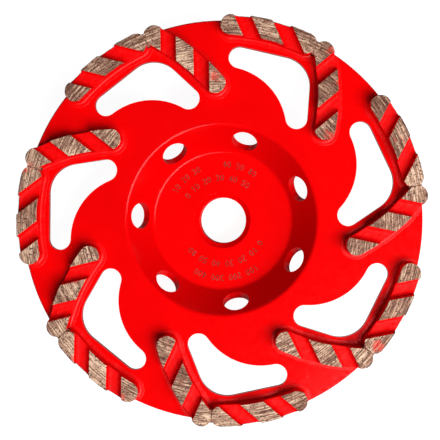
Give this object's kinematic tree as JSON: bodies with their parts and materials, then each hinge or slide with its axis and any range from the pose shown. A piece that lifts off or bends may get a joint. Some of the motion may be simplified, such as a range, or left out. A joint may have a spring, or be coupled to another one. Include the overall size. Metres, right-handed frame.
{
  "type": "diamond cup wheel",
  "caption": "Steel cup wheel with a threaded hub, a coned recess and a flat rim pierced by curved windows, carrying slanted-groove diamond segments in V pairs.",
  "frame": {"origin": "centre of the bore, in the plane of the hub's back face", "axes": "+Z along the bore, from the hub's back face towards the segments. +X and +Y lie in the plane of the rim: seen from the front, the joint of the first segment pair is about 10 degrees counter-clockwise from +X"},
  "size_m": [0.1148, 0.1149, 0.0263],
  "materials": {
    "red_paint": "smooth semi-gloss red lacquer over steel",
    "diamond_matrix": "sintered metal, dressed by grinding, matte grey-brown, red lacquer left in the grooves and on the sides"
  },
  "bodies": {
    "root": {"body": "red_paint", "rim_segment_1": "diamond_matrix", "rim_segment_2": "diamond_matrix", "rim_segment_3": "diamond_matrix", "rim_segment_4": "diamond_matrix", "rim_segment_5": "diamond_matrix", "rim_segment_6": "diamond_matrix", "rim_segment_7": "diamond_matrix", "sweep_segment_1": "diamond_matrix", "sweep_segment_2": "diamond_matrix", "sweep_segment_3": "diamond_matrix", "sweep_segment_4": "diamond_matrix", "sweep_segment_5": "diamond_matrix", "sweep_segment_6": "diamond_matrix", "sweep_segment_7": "diamond_matrix"}
  },
  "joints": []
}
